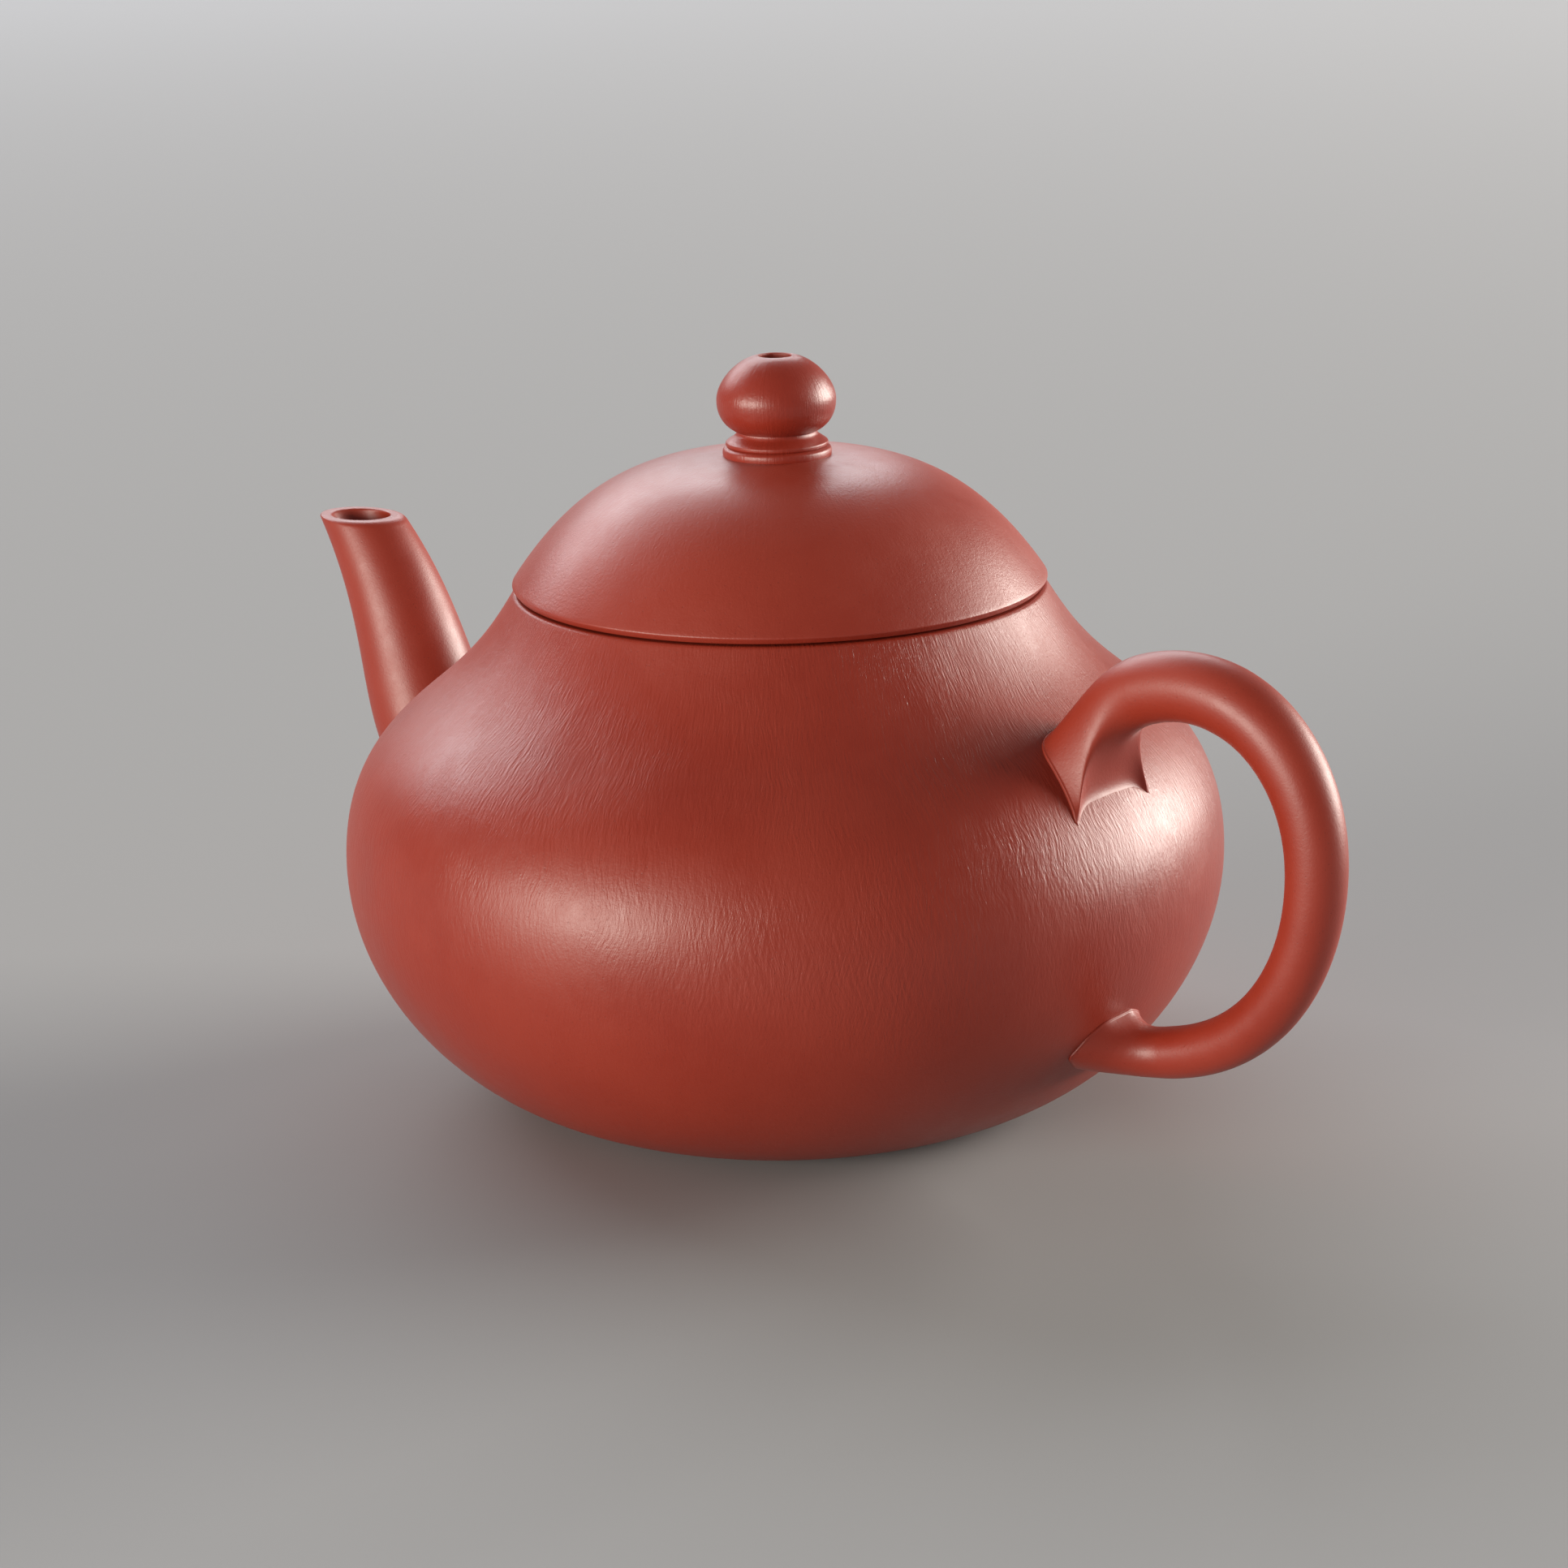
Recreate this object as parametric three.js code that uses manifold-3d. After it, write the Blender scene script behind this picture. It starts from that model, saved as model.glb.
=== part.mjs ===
// A small yixing clay teapot: pear-shaped body, domed lid with a pierced bead knob, short curved
// spout and ear handle. Millimetres, +Z up. The origin is the centre of the base's flat face, the
// pot's axis is Z, the handle is on +X and the spout on -X.
import * as THREE from 'three';
import { mergeVertices } from 'three/addons/utils/BufferGeometryUtils.js';
import Module from 'manifold-3d';

const wasm = await Module();
wasm.setup();

// ---- Driving dimensions ----
const BELLY_R = 45;            // widest radius of the pot
const BASE_R = 22.5;           // flat face that the pot stands on
const SEAT_Z = 52.65;          // top of the mouth ring, where the lid rests
const MOUTH_OUTER_R = 26.85;
const MOUTH_R = 23.4;          // clear radius of the mouth
const WALL = 3;
const BASE_T = 3;              // thickness of the base disc
const SHOULDER_Z = 39;         // joint between the belly wall and the shoulder disc
const NECK_Z = 50.4;           // joint between the shoulder disc and the mouth ring
const LUTE_GAP = 0.3;          // left between a piece and the curved face that it is luted to
const VENT_R = 1.6;            // the hole down through the knob

const LID_SEAT_GAP = 0.2;      // left between the lid and the mouth ring
const LID_SEAT_T = 2;          // thickness of the seat ring
const LID_EDGE_R = 27.05;
const LID_UNDERCUT = 0.5;      // height and depth of the slanted edge under the lid
const LID_RISE = 13.37;        // height of the dome above the mouth
const LID_FOOT_R = 27.6;       // radius at which the dome's curve would meet the mouth's level
const LID_POWER = 3.2;         // how square-shouldered the dome's curve is
const FLANGE_CLEARANCE = 0.35;
const FLANGE_T = 2.85;
const FLANGE_DEPTH = 6;
const KNOB_SEAT_R = 5.6;

const SEGMENTS = 48;           // around the pot and lid
const KNOB_SEGMENTS = 24;
const TUBE_SIDES = 16;         // around the spout and handle

// ---- Outlines ----
// The outline of the pot from the edge of its base to its mouth, as (radius, height).
const potOutline = new THREE.Path();
potOutline.moveTo(BASE_R, 0);
potOutline.bezierCurveTo(33, 0.9, BELLY_R, 11.9, BELLY_R, 25.5);
potOutline.bezierCurveTo(BELLY_R, 35.3, 39.6, 39.2, 35.4, 42.6);
potOutline.bezierCurveTo(30.85, 46.3, 29.05, 49.1, MOUTH_OUTER_R, SEAT_Z);
const OUTER = potOutline.getPoints(9);

const KNOB_SEAT_Z = lidHeight(KNOB_SEAT_R);

// Height of the dome's outer face at a radius.
function lidHeight(radius) {
  return SEAT_Z + LID_RISE * (1 - (radius / LID_FOOT_R) ** LID_POWER);
}

// Radius of the dome's outer face at a height.
function lidRadius(height) {
  return LID_FOOT_R * (1 - (height - SEAT_Z) / LID_RISE) ** (1 / LID_POWER);
}

// An outline moved sideways by a distance: to the left of its direction of travel if positive.
function offset(points, distance) {
  return points.map((point, i) => {
    const before = points[Math.max(i - 1, 0)];
    const after = points[Math.min(i + 1, points.length - 1)];
    const along = after.clone().sub(before).normalize();
    return new THREE.Vector2(point.x - along.y * distance, point.y + along.x * distance);
  });
}

// The stretch of a rising outline between two heights, with exact ends.
function between(points, low, high) {
  const at = (height) => {
    const i = points.findIndex((point) => point.y >= height - 1e-9);
    if (i <= 0) return new THREE.Vector2(points[Math.max(i, 0)].x, height);
    const share = (height - points[i - 1].y) / (points[i].y - points[i - 1].y);
    return points[i - 1].clone().lerp(points[i], share);
  };
  const inside = points.filter((point) => point.y > low + 0.2 && point.y < high - 0.2);
  return [at(low), ...inside, at(high)];
}

// ---- Solids ----
// Turns a geometry that has +Y along its axis so that the axis is +Z.
function upright(geometry) {
  return geometry.rotateX(Math.PI / 2);
}

// A turned piece from (radius, height) points. The outline closes on itself or on the axis.
function turned(points, segments = SEGMENTS) {
  const onAxis = points[0].x === 0 && points[points.length - 1].x === 0;
  const outline = onAxis ? points : [...points, points[0].clone()];
  return upright(new THREE.LatheGeometry(outline, segments));
}

function point(radius, height) {
  return new THREE.Vector2(radius, height);
}

// A three.js geometry as a manifold-3d solid, and back.
function toSolid(geometry) {
  const bare = geometry.index ? geometry.clone() : geometry;
  bare.deleteAttribute('normal');
  bare.deleteAttribute('uv');
  const merged = mergeVertices(bare, 1e-4);
  const solid = new wasm.Manifold(new wasm.Mesh({
    numProp: 3,
    vertProperties: new Float32Array(merged.attributes.position.array),
    triVerts: new Uint32Array(merged.index.array),
  }));
  if (solid.volume() < 0) throw new Error('a solid is inside out');
  return solid;
}

function toGeometry(solid) {
  const mesh = solid.getMesh();
  const geometry = new THREE.BufferGeometry();
  geometry.setAttribute('position', new THREE.BufferAttribute(mesh.vertProperties, 3));
  geometry.setIndex(new THREE.BufferAttribute(mesh.triVerts, 1));
  geometry.computeVertexNormals();
  return geometry;
}

// A cylinder bent along a curve in the XZ plane. halfDepth and halfWidth give the section's half
// sizes, in that plane and across it, at each share of the way along.
function bentRod(curve, halfDepth, halfWidth, steps) {
  const rod = new THREE.CylinderGeometry(1, 1, 1, TUBE_SIDES, steps);
  const places = rod.attributes.position;
  const across = new THREE.Vector3(0, 1, 0);
  for (let i = 0; i < places.count; i += 1) {
    const share = places.getY(i) + 0.5;
    const centre = curve.getPoint(share);
    const depthways = new THREE.Vector3().crossVectors(curve.getTangent(share), across);
    centre.addScaledVector(depthways, places.getX(i) * halfDepth(share));
    centre.addScaledVector(across, places.getZ(i) * halfWidth(share));
    places.setXYZ(i, centre.x, centre.y, centre.z);
  }
  return rod;
}

// A curve in the XZ plane through cubic Bezier pieces, each given by four (x, z) points.
function planeCurve(pieces) {
  const path = new THREE.CurvePath();
  for (const corners of pieces) {
    path.add(new THREE.CubicBezierCurve3(...corners.map(([x, z]) => new THREE.Vector3(x, 0, z))));
  }
  return path;
}

// The whole pot, solid, grown outwards by a gap: what the spout and handle are trimmed against.
function potBlank(gap) {
  const skin = offset(OUTER, -gap);
  return toSolid(turned([point(0, -gap), point(BASE_R, -gap), ...skin.slice(1), point(0, SEAT_Z)]));
}

// The space inside the wall, shrunk by a gap.
function cavityBlank(gap) {
  const skin = between(offset(OUTER, WALL + gap), BASE_T + gap, NECK_Z);
  return toSolid(turned([point(0, BASE_T + gap), ...skin, point(0, NECK_Z)]));
}

// ---- The pot's pieces ----
const DRAIN_R = 5;             // hole in the wall behind the spout
const SPOUT_ROOT = [-39.5, 24.3];
const SPOUT_CURVE = planeCurve([[
  SPOUT_ROOT, [-56.5, 26.6], [-48.2, 39.5], [-63.5, 55.4],
]]);
const SPOUT_ROOT_R = 7.3;
const SPOUT_TIP_R = 3.6;
const SPOUT_TAPER_POWER = 1.5;
const SPOUT_ROOT_WALL = 2.2;
const SPOUT_TIP_WALL = 1.2;

const HANDLE_CURVE = planeCurve([
  [[33, 39], [46.6, 56.9], [63.6, 48.8], [63.6, 33.5]],
  [[63.6, 33.5], [63.6, 22.5], [56.35, 10.4], [38, 12.3]],
]);
const HANDLE_CROWN_R = 3.35;
const HANDLE_FOOT_R = 2.5;
const HANDLE_THIN_FROM = 0.3;  // share of the way along at which the handle starts to thin
// How far each end of the handle spreads: reach is the share of the handle's length it takes.
const TOP_FLARE = { reach: 0.16, width: 5.2, depth: 0.6 };
const FOOT_FLARE = { reach: 0.1, width: 4.4, depth: 0.5 };
const FLARE_POWER = 1.6;

// The level disc that the wall stands on.
function baseDisc() {
  return turned([point(0, 0), ...between(OUTER, 0, BASE_T), point(0, BASE_T)]);
}

// One level band of the pot's shell.
function shellBand(low, high) {
  const inner = between(offset(OUTER, WALL), low, high);
  return turned([...between(OUTER, low, high), ...inner.reverse()]);
}

// The hole behind the spout, along X.
function drainBlank() {
  const length = 20;
  const hole = new THREE.CylinderGeometry(DRAIN_R, DRAIN_R, length, TUBE_SIDES);
  hole.rotateZ(Math.PI / 2).translate(-BELLY_R, 0, SPOUT_ROOT[1]);
  return toSolid(hole);
}

function bellyWall() {
  return toGeometry(toSolid(shellBand(BASE_T, SHOULDER_Z)).subtract(drainBlank()));
}

function mouthRing() {
  return turned([
    ...between(OUTER, NECK_Z, SEAT_Z),
    point(MOUTH_R, SEAT_Z),
    point(MOUTH_R, NECK_Z),
  ]);
}

// The tapering tube, bored right through, trimmed to the belly and cut level with the mouth.
function spout() {
  const steps = 14;
  const taper = (share) => (SPOUT_ROOT_R - SPOUT_TIP_R) * share ** SPOUT_TAPER_POWER;
  const radius = (share) => SPOUT_ROOT_R - taper(share);
  const wall = (share) => SPOUT_ROOT_WALL + (SPOUT_TIP_WALL - SPOUT_ROOT_WALL) * share;
  const bore = (share) => radius(share) - wall(share);
  const tube = toSolid(bentRod(SPOUT_CURVE, radius, radius, steps))
    .subtract(toSolid(bentRod(SPOUT_CURVE, bore, bore, steps)));
  const above = new THREE.BoxGeometry(BELLY_R, BELLY_R, BELLY_R);
  above.translate(-BELLY_R * 1.3, 0, SEAT_Z + BELLY_R / 2);
  return toGeometry(tube.subtract(potBlank(LUTE_GAP)).subtract(toSolid(above)));
}

// A shallow dome over the hole behind the spout, pierced by one middle hole and a ring of six.
function strainer() {
  const domeR = 8;
  const domeWall = 1.6;
  const pierceR = 1.1;
  const pierceTilt = Math.PI / 5.5;
  const pierceSides = 8;
  const ringHoles = 6;
  const sides = 20;
  const setIn = 4;             // from the belly's widest line to the dome's centre
  const place = (geometry) => toSolid(geometry.translate(setIn - BELLY_R, 0, SPOUT_ROOT[1]));
  const shell = place(new THREE.SphereGeometry(domeR, sides, sides / 2))
    .subtract(place(new THREE.SphereGeometry(domeR - domeWall, sides, sides / 2)));
  let dome = shell.intersect(cavityBlank(LUTE_GAP));
  for (let i = 0; i <= ringHoles; i += 1) {
    const hole = new THREE.CylinderGeometry(pierceR, pierceR, 2 * domeR, pierceSides);
    hole.translate(0, domeR, 0);
    hole.rotateZ(-Math.PI / 2);
    if (i > 0) hole.rotateY(pierceTilt).rotateX((i * 2 * Math.PI) / ringHoles);
    dome = dome.subtract(place(hole));
  }
  return toGeometry(dome);
}

// A round rod bent to an ear, spreading sideways where it is luted to the shoulder and belly.
function handle() {
  const steps = 30;
  const spread = (left, flare) => Math.max(0, 1 - left / flare.reach) ** FLARE_POWER;
  const rod = (share) => {
    const thinned = Math.max(0, share - HANDLE_THIN_FROM) / (1 - HANDLE_THIN_FROM);
    return HANDLE_CROWN_R + (HANDLE_FOOT_R - HANDLE_CROWN_R) * Math.sin((Math.PI / 2) * thinned);
  };
  const half = (side) => (share) => rod(share)
    + TOP_FLARE[side] * spread(share, TOP_FLARE)
    + FOOT_FLARE[side] * spread(1 - share, FOOT_FLARE);
  const ear = toSolid(bentRod(HANDLE_CURVE, half('depth'), half('width'), steps));
  return toGeometry(ear.subtract(potBlank(LUTE_GAP)));
}

// ---- The lid's pieces ----
const LID_BASE_Z = SEAT_Z + LID_SEAT_GAP;
const DOME_Z = LID_BASE_Z + LID_SEAT_T;
const FLANGE_R = MOUTH_R - FLANGE_CLEARANCE;

// The dome's outer face, from a height up to the flat that the knob stands on.
function domeCurve(low) {
  const count = 9;
  const start = lidRadius(low);
  const points = [];
  for (let i = 0; i <= count; i += 1) {
    const radius = start + (KNOB_SEAT_R - start) * (i / count);
    points.push(point(radius, lidHeight(radius)));
  }
  return points;
}

function lidDome() {
  const outer = domeCurve(DOME_Z);
  const inner = offset(outer, WALL).filter((p) => p.y > DOME_Z + 0.2);
  const foot = between(offset(outer, WALL), DOME_Z, DOME_Z + 1)[0];
  return turned([
    ...outer,
    point(VENT_R, KNOB_SEAT_Z),
    point(VENT_R, KNOB_SEAT_Z - WALL),
    ...inner.reverse(),
    foot,
  ]);
}

function lidSeatRing() {
  return turned([
    point(FLANGE_R - FLANGE_T, LID_BASE_Z),
    point(LID_EDGE_R - LID_UNDERCUT, LID_BASE_Z),
    point(LID_EDGE_R, LID_BASE_Z + LID_UNDERCUT),
    point(lidRadius(DOME_Z), DOME_Z),
    point(FLANGE_R - FLANGE_T, DOME_Z),
  ]);
}

function lidFlange() {
  const chamfer = 0.5;
  return turned([
    point(FLANGE_R - FLANGE_T, LID_BASE_Z - FLANGE_DEPTH),
    point(FLANGE_R - chamfer, LID_BASE_Z - FLANGE_DEPTH),
    point(FLANGE_R, LID_BASE_Z - FLANGE_DEPTH + chamfer),
    point(FLANGE_R, LID_BASE_Z),
    point(FLANGE_R - FLANGE_T, LID_BASE_Z),
  ]);
}

// ---- The knob's pieces, from the lid up ----
const KNOB_RING_R = 5.48;
const KNOB_RING_T = 0.95;
const KNOB_FLARE_R = 5.15;
const KNOB_FLARE_LOW = 0.3;    // heights of the flare's edge and of the hollow above the base ring
const KNOB_FLARE_HIGH = 0.4;
const KNOB_HOLLOW = 0.7;
const KNOB_NECK_R = 4.02;
const KNOB_NECK_Z = 68.35;
const KNOB_BEAD_R = 5.98;
const KNOB_TOP_Z = 75.9;
const COLLAR_Z = KNOB_SEAT_Z + KNOB_RING_T;

function knobBaseRing() {
  const round = KNOB_RING_T / 3;
  return turned([
    point(VENT_R, KNOB_SEAT_Z),
    point(KNOB_RING_R - round, KNOB_SEAT_Z),
    point(KNOB_RING_R, KNOB_SEAT_Z + round),
    point(KNOB_RING_R - round, COLLAR_Z),
    point(VENT_R, COLLAR_Z),
  ], KNOB_SEGMENTS);
}

function knobCollar() {
  const neck = new THREE.QuadraticBezierCurve(
    point(KNOB_FLARE_R, COLLAR_Z + KNOB_FLARE_HIGH),
    point(KNOB_NECK_R, COLLAR_Z + KNOB_HOLLOW),
    point(KNOB_NECK_R, KNOB_NECK_Z),
  );
  return turned([
    point(VENT_R, COLLAR_Z),
    point(KNOB_FLARE_R - 0.2, COLLAR_Z),
    point(KNOB_FLARE_R, COLLAR_Z + KNOB_FLARE_LOW),
    ...neck.getPoints(4),
    point(VENT_R, KNOB_NECK_Z),
  ], KNOB_SEGMENTS);
}

function knobBead() {
  const widestZ = 71.5;
  const outline = new THREE.Path();
  outline.moveTo(KNOB_NECK_R, KNOB_NECK_Z);
  outline.bezierCurveTo(5.1, 68.85, KNOB_BEAD_R, 69.8, KNOB_BEAD_R, widestZ);
  outline.bezierCurveTo(KNOB_BEAD_R, 73.3, 3.9, KNOB_TOP_Z - 0.3, VENT_R + 0.2, KNOB_TOP_Z);
  return turned([
    point(VENT_R, KNOB_NECK_Z),
    ...outline.getPoints(6),
    point(VENT_R, KNOB_TOP_Z - 0.2),
  ], KNOB_SEGMENTS);
}

// ---- Assembly ----
const clay = (color) => new THREE.MeshStandardMaterial({ color, roughness: 0.45, metalness: 0 });
const POT_CLAY = 0x8e2d1d;
const LID_CLAY = 0x902f1f;
const KNOB_CLAY = 0x8b2a1b;
const INNER_CLAY = 0x8e3528;

function piece(name, geometry, color) {
  const mesh = new THREE.Mesh(geometry, clay(color));
  mesh.name = name;
  return mesh;
}

const pot = new THREE.Group();
pot.add(
  piece('base_disc', baseDisc(), POT_CLAY),
  piece('belly_wall', bellyWall(), POT_CLAY),
  piece('shoulder_disc', shellBand(SHOULDER_Z, NECK_Z), POT_CLAY),
  piece('mouth_ring', mouthRing(), POT_CLAY),
  piece('spout', spout(), POT_CLAY),
  piece('strainer', strainer(), INNER_CLAY),
  piece('handle', handle(), POT_CLAY),
);

const lid = new THREE.Group();
lid.add(
  piece('lid_dome', lidDome(), LID_CLAY),
  piece('lid_seat_ring', lidSeatRing(), LID_CLAY),
  piece('lid_flange', lidFlange(), INNER_CLAY),
  piece('knob_base_ring', knobBaseRing(), KNOB_CLAY),
  piece('knob_collar', knobCollar(), KNOB_CLAY),
  piece('knob_bead', knobBead(), KNOB_CLAY),
);

const teapot = new THREE.Group();
teapot.add(pot, lid);

export default teapot;
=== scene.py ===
"""A small yixing clay teapot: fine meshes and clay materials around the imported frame.

The pot's axis is Z, the handle is on +X and the spout on -X. Lengths are in millimetres until a mesh
is made, and Blender's metres after that.
"""

import math

import bmesh
import bpy
import numpy as np
from mathutils import Matrix, Vector, noise


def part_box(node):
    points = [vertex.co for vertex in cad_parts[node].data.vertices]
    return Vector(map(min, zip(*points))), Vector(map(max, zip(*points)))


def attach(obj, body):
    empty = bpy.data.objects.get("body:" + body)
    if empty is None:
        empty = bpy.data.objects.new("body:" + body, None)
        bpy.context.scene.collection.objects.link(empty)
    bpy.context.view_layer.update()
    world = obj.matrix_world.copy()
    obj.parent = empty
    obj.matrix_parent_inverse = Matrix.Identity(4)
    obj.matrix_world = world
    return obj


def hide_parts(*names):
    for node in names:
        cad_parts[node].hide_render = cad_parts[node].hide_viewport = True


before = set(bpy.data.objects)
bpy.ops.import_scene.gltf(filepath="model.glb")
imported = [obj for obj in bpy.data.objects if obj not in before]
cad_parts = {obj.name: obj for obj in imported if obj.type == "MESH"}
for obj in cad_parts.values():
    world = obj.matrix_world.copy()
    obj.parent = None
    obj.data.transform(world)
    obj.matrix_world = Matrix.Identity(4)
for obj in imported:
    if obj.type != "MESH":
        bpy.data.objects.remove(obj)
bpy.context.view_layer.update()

MM = 0.001

# ---- Driving dimensions, from the frame ----


def node_box(node):
    """The lowest and highest corners of a CAD node, in millimetres."""
    low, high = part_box(node)
    return np.array(low) / MM, np.array(high) / MM


BELLY_R = node_box("belly_wall")[1][0]
BASE_T = node_box("base_disc")[1][2]
SHOULDER_Z, NECK_Z = node_box("shoulder_disc")[0][2], node_box("shoulder_disc")[1][2]
SEAT_Z = node_box("mouth_ring")[1][2]
LID_BASE_Z, DOME_Z = node_box("lid_seat_ring")[0][2], node_box("lid_seat_ring")[1][2]
KNOB_SEAT_Z, COLLAR_Z = node_box("knob_base_ring")[0][2], node_box("knob_base_ring")[1][2]
NECK_TOP_Z, KNOB_TOP_Z = node_box("knob_bead")[0][2], node_box("knob_bead")[1][2]
KNOB_RING_R = node_box("knob_base_ring")[1][0]
KNOB_BEAD_R = node_box("knob_bead")[1][0]
FLANGE_R, FLANGE_LOW_Z = node_box("lid_flange")[1][0], node_box("lid_flange")[0][2]

# ---- Design values that the frame doesn't hold ----
BASE_R = 22.5
MOUTH_OUTER_R = 26.85
MOUTH_R = 23.4
WALL = 3
VENT_R = 1.6
LID_EDGE_R = 27.05
LID_RISE = 13.37
LID_FOOT_R = 27.6
LID_POWER = 3.2
KNOB_SEAT_R = 5.6
FLANGE_T = 2.85
KNOB_NECK_R = 4.02
KNOB_FLARE_R = 5.15

SEGMENTS = 288       # around the pot and the lid
KNOB_SEGMENTS = 128
TOOL_SIDES = 48      # around a rod that cuts a hole
ROW = 0.6            # length of one row of faces on the turned pieces
FINE_ROW = 0.1       # the same, where the outline is only measured
SEAM_ROW = 0.02      # the last row beside a joint, so that both sides shade alike
CURVE_STEP = 0.05    # between the places that a bent tube's curve is held as
CURVE_POINTS = 400   # first points on each of its Beziers
HALVINGS = 30        # of a range, when a crossing is searched for

# ---- Curves ----


def bezier(corners, count):
    """Points along a cubic Bezier."""
    t = np.linspace(0, 1, count)[:, None]
    p = np.array(corners, float)
    return (1 - t) ** 3 * p[0] + 3 * t * (1 - t) ** 2 * p[1] + 3 * t * t * (1 - t) * p[2] + t ** 3 * p[3]


def by_length(points, step):
    """A polyline's points moved to even steps along it, with the same ends."""
    points = np.asarray(points, float)
    along = np.concatenate([[0], np.cumsum(np.linalg.norm(np.diff(points, axis=0), axis=1))])
    count = max(2, int(round(along[-1] / step)) + 1)
    places = np.linspace(0, along[-1], count)
    return np.stack([np.interp(places, along, points[:, i]) for i in range(points.shape[1])], axis=1)


def turn_corner(start, corner, end, t):
    """The place at t on a soft curve from start to end that is drawn towards a corner."""
    return (1 - t) ** 2 * start + 2 * t * (1 - t) * corner + t * t * end


def rounded(corners, steps=6):
    """An outline through (radius, height, fillet) corners, with a curve of that size at each."""
    out = []
    places = np.array([c[:2] for c in corners], float)
    for i, corner in enumerate(corners):
        fillet = corner[2] if len(corner) > 2 else 0
        if fillet == 0 or i in (0, len(corners) - 1):
            out.append(places[i])
            continue
        before, after = places[i - 1] - places[i], places[i + 1] - places[i]
        start = places[i] + before / np.linalg.norm(before) * fillet
        end = places[i] + after / np.linalg.norm(after) * fillet
        for t in np.linspace(0, 1, steps + 1):
            out.append(turn_corner(start, places[i], end, t))
    return np.array(out)


def offset(points, distance):
    """An outline moved to the left of its direction of travel."""
    along = np.gradient(points, axis=0)
    along /= np.linalg.norm(along, axis=1)[:, None]
    return points + np.stack([-along[:, 1], along[:, 0]], axis=1) * distance


def between(points, low, high):
    """The stretch of a rising outline between two heights, with a thin row at each end."""
    heights = [low, low + SEAM_ROW]
    heights += [z for z in points[:, 1] if low + 4 * SEAM_ROW < z < high - 4 * SEAM_ROW]
    heights += [high - SEAM_ROW, high]
    return np.stack([np.interp(heights, points[:, 1], points[:, 0]), heights], axis=1)


WIDEST = (BELLY_R, 25.5)
SHOULDER = (35.4, 42.6)
POT_OUTLINE = by_length(np.vstack([
    bezier([(BASE_R, 0), (33, 0.9), (BELLY_R, 11.9), WIDEST], 200),
    bezier([WIDEST, (BELLY_R, 35.3), (39.6, 39.2), SHOULDER], 200)[1:],
    bezier([SHOULDER, (30.85, 46.3), (29.05, 49.1), (MOUTH_OUTER_R, SEAT_Z)], 200)[1:],
]), ROW)
FINE_OUTLINE = by_length(POT_OUTLINE, FINE_ROW)


def lid_height(radius):
    return SEAT_Z + LID_RISE * (1 - (radius / LID_FOOT_R) ** LID_POWER)


def lid_radius(height):
    return LID_FOOT_R * (1 - (height - SEAT_Z) / LID_RISE) ** (1 / LID_POWER)


# ---- The pot's surface ----


def pot_radius(z):
    return np.interp(z, FINE_OUTLINE[:, 1], FINE_OUTLINE[:, 0])


def pot_normal(places):
    """Unit normals of the pot's outer face at (n, 3) places on it."""
    step = 0.2
    slope = (pot_radius(places[:, 2] + step) - pot_radius(places[:, 2] - step)) / (2 * step)
    radius = np.hypot(places[:, 0], places[:, 1])
    normals = np.stack([places[:, 0] / radius, places[:, 1] / radius, -slope], axis=1)
    return normals / np.linalg.norm(normals, axis=1)[:, None]


def on_pot(y, z):
    """Places on the +X side of the pot's outer face."""
    return np.stack([np.sqrt(pot_radius(z) ** 2 - y ** 2), y, z], axis=1)


def clear_of_pot(places):
    """How far places stand outside the pot's outer face, measured level."""
    return np.hypot(places[..., 0], places[..., 1]) - pot_radius(places[..., 2])


# ---- Meshes ----


def finish_mesh(name, mesh, crease=40):
    """Smooth shading, with the edges sharper than crease degrees kept crisp."""
    made = bmesh.new()
    made.from_mesh(mesh)
    bmesh.ops.recalc_face_normals(made, faces=made.faces)
    for face in made.faces:
        face.smooth = True
    for edge in made.edges:
        edge.smooth = len(edge.link_faces) == 2 and edge.calc_face_angle(0) < math.radians(crease)
    made.to_mesh(mesh)
    made.free()
    piece = bpy.data.objects.new(name, mesh)
    bpy.context.scene.collection.objects.link(piece)
    return piece


def grid_mesh(name, rings, closed_ends):
    """A skin over rings of places, each ring closed on itself. closed_ends fills the two end rings,
    and otherwise the last ring joins the first."""
    rings = np.asarray(rings)
    count, around = rings.shape[:2]
    last = count - 1 if closed_ends else count
    faces = []
    for i in range(last):
        a, b = i * around, ((i + 1) % count) * around
        for k in range(around):
            n = (k + 1) % around
            faces.append((a + k, a + n, b + n, b + k))
    if closed_ends:
        faces.append(tuple(range(around)))
        faces.append(tuple((count - 1) * around + k for k in range(around)))
    mesh = bpy.data.meshes.new(name)
    mesh.from_pydata((rings.reshape(-1, 3) * MM).tolist(), [], faces)
    return mesh


def hand_shaping(places, amount=0.05, size=16):
    """Small level shifts, in millimetres, such as paddling and scraping by hand leave."""
    return np.array([noise.noise(Vector(p) / size) * amount for p in places.reshape(-1, 3)]).reshape(
        places.shape[:-1])


def turned(name, outline, segments=SEGMENTS, shaping=0.05):
    """A turned piece from a closed outline of (radius, height), or one that starts and ends on the
    axis."""
    outline = np.asarray(outline, float)
    angles = np.linspace(0, 2 * math.pi, segments, endpoint=False)
    on_axis = outline[0, 0] == 0 and outline[-1, 0] == 0
    rows = outline[1:-1] if on_axis else outline
    rings = np.stack([
        rows[:, 0:1] * np.cos(angles),
        rows[:, 0:1] * np.sin(angles),
        np.repeat(rows[:, 1:2], segments, axis=1),
    ], axis=2)
    shift = hand_shaping(rings, shaping)
    rings[..., 0] += shift * np.cos(angles)
    rings[..., 1] += shift * np.sin(angles)
    return finish_mesh(name, grid_mesh(name, rings, closed_ends=on_axis))


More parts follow.
